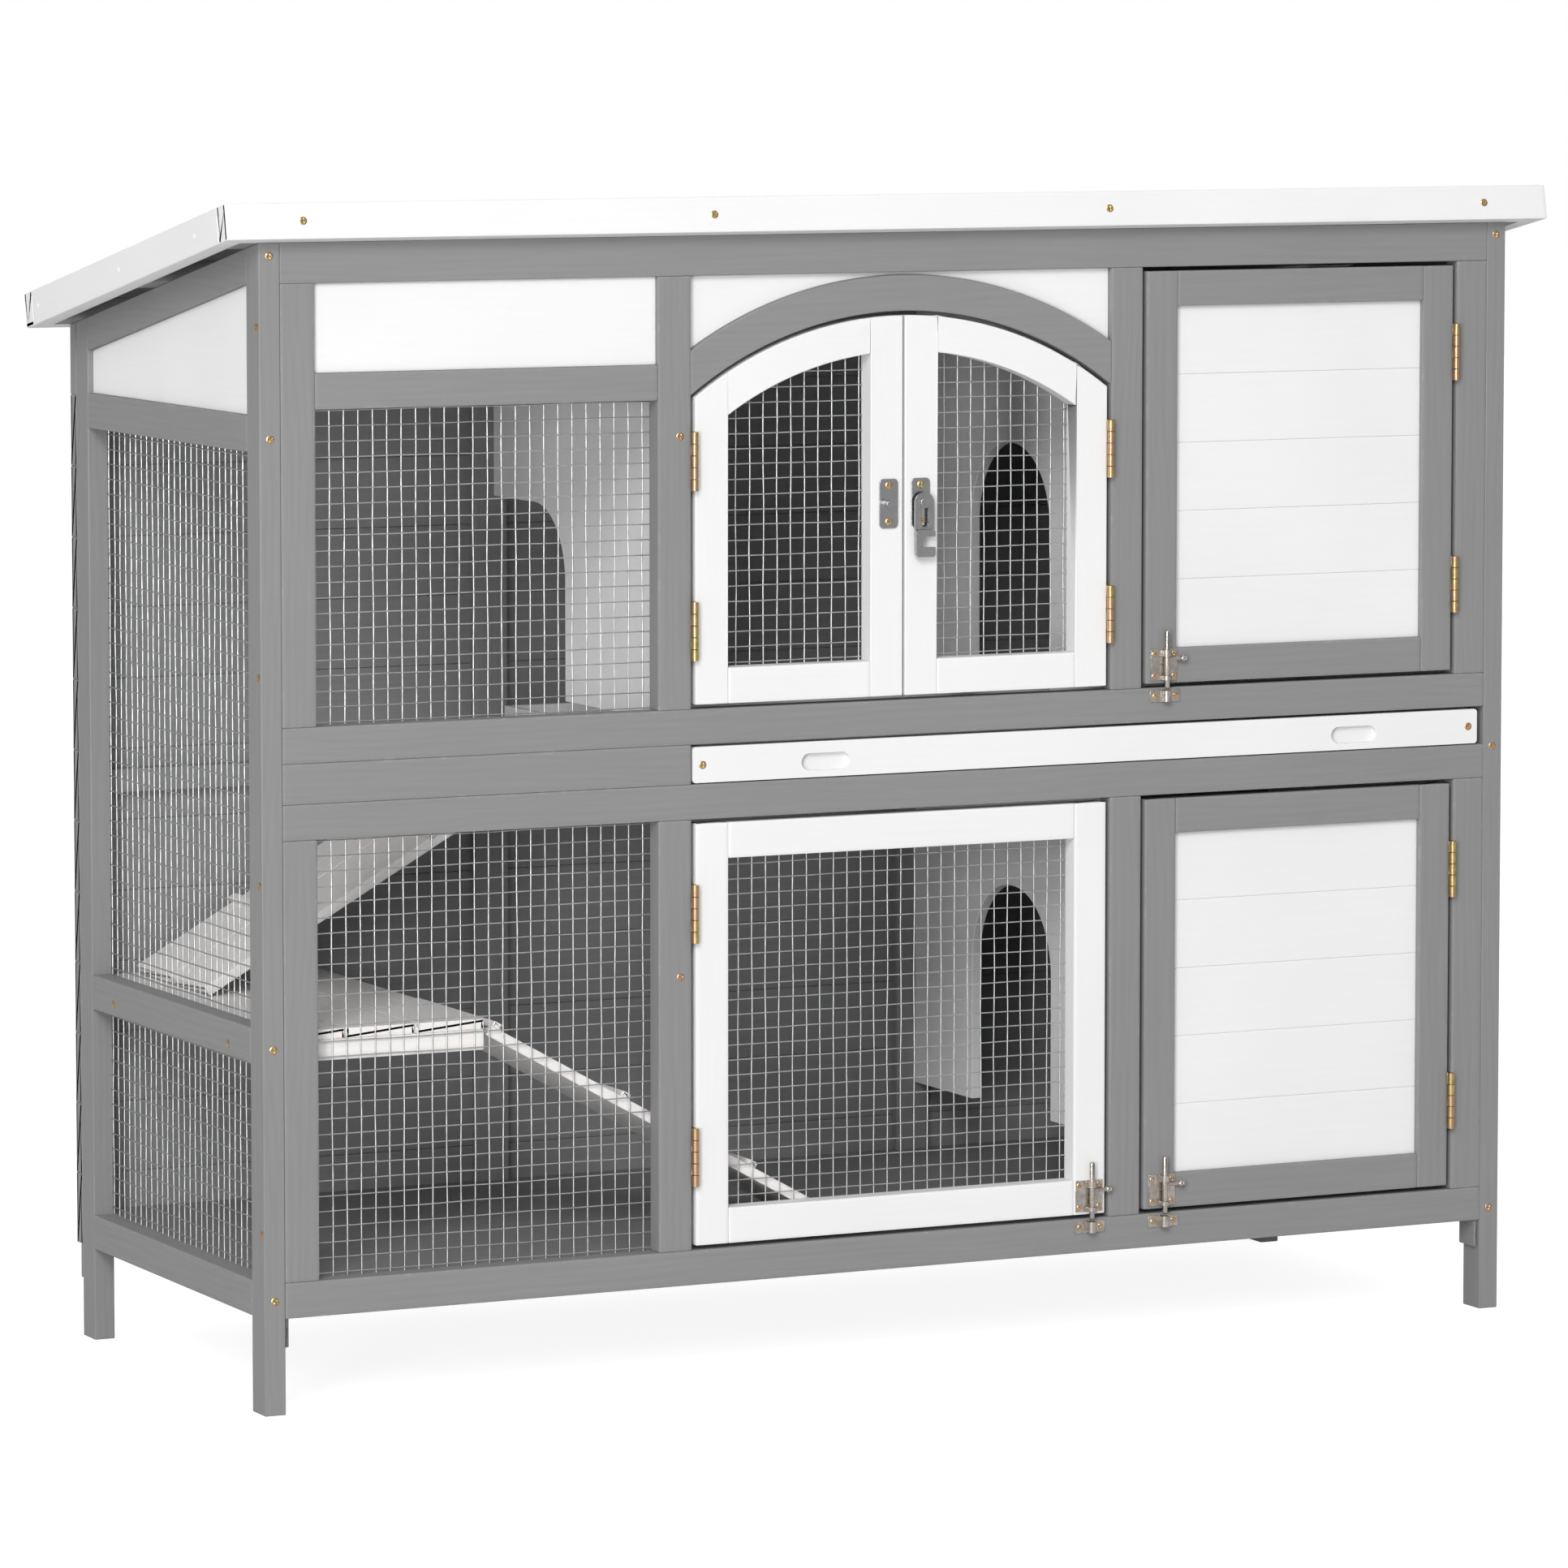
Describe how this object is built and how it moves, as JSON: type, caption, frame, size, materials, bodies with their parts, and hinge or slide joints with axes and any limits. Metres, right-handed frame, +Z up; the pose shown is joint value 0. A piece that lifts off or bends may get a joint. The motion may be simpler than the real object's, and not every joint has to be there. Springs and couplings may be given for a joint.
{
  "type": "rabbit hutch",
  "caption": "Raised two-storey wooden rabbit hutch with arched mesh doors, panelled nest doors, mesh run, inner ramps, slide-out tray and sloping roof.",
  "frame": {"origin": "centre of the bounding box in plan, on the ground under the legs", "axes": "+X to the hutch's right as its doors are faced, +Y to its back, +Z up"},
  "size_m": [1.2332, 0.4672, 0.9862],
  "materials": {
    "grey_paint": "grey painted softwood",
    "white_paint": "white painted softwood",
    "worn_white": "thin white wash worn to the wood",
    "wire": "galvanised welded wire",
    "brass": "yellow passivated",
    "nickel": "nickel plated",
    "latch_chrome": "dull chrome",
    "felt": "mineral roofing felt"
  },
  "bodies": {
    "hutch": {"post_front_left": "grey_paint", "post_front_right": "grey_paint", "post_rear_left": "grey_paint", "post_rear_right": "grey_paint", "left_side_rails": "grey_paint", "right_side_rails": "grey_paint", "left_gable_plank": "white_paint", "right_side_planks": "white_paint", "front_rails": "grey_paint", "upper_stiles": "grey_paint", "lower_stiles": "grey_paint", "filler_board": "grey_paint", "arch_rail": "grey_paint", "spandrel_panels": "white_paint", "front_plank": "white_paint", "front_upper_mesh": "wire", "front_lower_mesh": "wire", "side_mesh": "wire", "back_boards": "grey_paint", "back_frame": "grey_paint", "floor": "grey_paint", "upper_deck": "grey_paint", "partition_upper_left": "white_paint", "partition_upper_right": "white_paint", "partition_lower_right": "white_paint", "platform": "worn_white", "roof_frame": "white_paint", "roof_board": "grey_paint", "roof_felt": "felt", "leg_cleats": "grey_paint", "frame_screws": "brass", "frame_hinges": "brass", "bolt_keepers": "nickel", "ramp_hinge_plates": "nickel"},
    "arch_door_left": {"arch_left_frame": "white_paint", "arch_left_mesh": "wire", "arch_left_fittings": "brass"},
    "arch_door_right": {"arch_right_frame": "white_paint", "arch_right_mesh": "wire", "arch_right_fittings": "brass"},
    "hasp": {"hasp_bar": "latch_chrome"},
    "upper_right_door": {"upper_right_door_frame": "grey_paint", "upper_right_door_planks": "white_paint", "upper_right_door_fittings": "brass"},
    "upper_bolt": {"upper_right_bolt": "nickel"},
    "lower_mesh_door": {"lower_mesh_door_frame": "white_paint", "lower_mesh_door_mesh": "wire", "lower_mesh_door_fittings": "brass"},
    "mesh_door_bolt": {"lower_mesh_bolt": "nickel"},
    "lower_right_door": {"lower_right_door_frame": "grey_paint", "lower_right_door_planks": "white_paint", "lower_right_door_fittings": "brass"},
    "lower_bolt": {"lower_right_bolt": "nickel"},
    "tray": {"tray_front": "white_paint", "tray_pan": "white_paint", "tray_screws": "brass"},
    "ramp_up": {"upper_ramp": "worn_white", "upper_ramp_flaps": "nickel"},
    "ramp_down": {"lower_ramp": "worn_white", "lower_ramp_flaps": "nickel"}
  },
  "joints": [
    {"name": "arch_left_hinge", "type": "hinge", "parent": "hutch", "child": "arch_door_left", "pos_m": [-0.19735, -0.22147, 0.74115], "axis": [0, 0, -1], "range_deg": [0, 110]},
    {"name": "arch_right_hinge", "type": "hinge", "parent": "hutch", "child": "arch_door_right", "pos_m": [0.19315, -0.22147, 0.74115], "axis": [0, 0, 1], "range_deg": [0, 110]},
    {"name": "hasp_pivot", "type": "hinge", "parent": "arch_door_right", "child": "hasp", "pos_m": [0.0144, -0.22327, 0.7271], "axis": [0, -1, 0], "range_deg": [0, 270]},
    {"name": "upper_right_hinge", "type": "hinge", "parent": "hutch", "child": "upper_right_door", "pos_m": [0.53325, -0.22147, 0.74115], "axis": [0, 0, 1], "range_deg": [0, 110]},
    {"name": "upper_bolt_slide", "type": "slide", "parent": "upper_right_door", "child": "upper_bolt", "axis": [0, 0, 1], "range_m": [-0.0126, 0]},
    {"name": "lower_mesh_hinge", "type": "hinge", "parent": "hutch", "child": "lower_mesh_door", "pos_m": [-0.19735, -0.22147, 0.28895], "axis": [0, 0, -1], "range_deg": [0, 110]},
    {"name": "mesh_door_bolt_slide", "type": "slide", "parent": "lower_mesh_door", "child": "mesh_door_bolt", "axis": [0, 0, 1], "range_m": [-0.0126, 0]},
    {"name": "lower_right_hinge", "type": "hinge", "parent": "hutch", "child": "lower_right_door", "pos_m": [0.53325, -0.22147, 0.28895], "axis": [0, 0, 1], "range_deg": [0, 110]},
    {"name": "lower_bolt_slide", "type": "slide", "parent": "lower_right_door", "child": "lower_bolt", "axis": [0, 0, 1], "range_m": [-0.0126, 0]},
    {"name": "tray_slide", "type": "slide", "parent": "hutch", "child": "tray", "axis": [0, -1, 0], "range_m": [0, 0.36]},
    {"name": "ramp_up_hinge", "type": "hinge", "parent": "hutch", "child": "ramp_up", "pos_m": [-0.20435, 0.09993, 0.508], "axis": [0, 1, 0], "range_deg": [0, 8]},
    {"name": "ramp_down_hinge", "type": "hinge", "parent": "hutch", "child": "ramp_down", "pos_m": [-0.37665, -0.11657, 0.308], "axis": [0, -1, 0], "range_deg": [0, 55]}
  ]
}
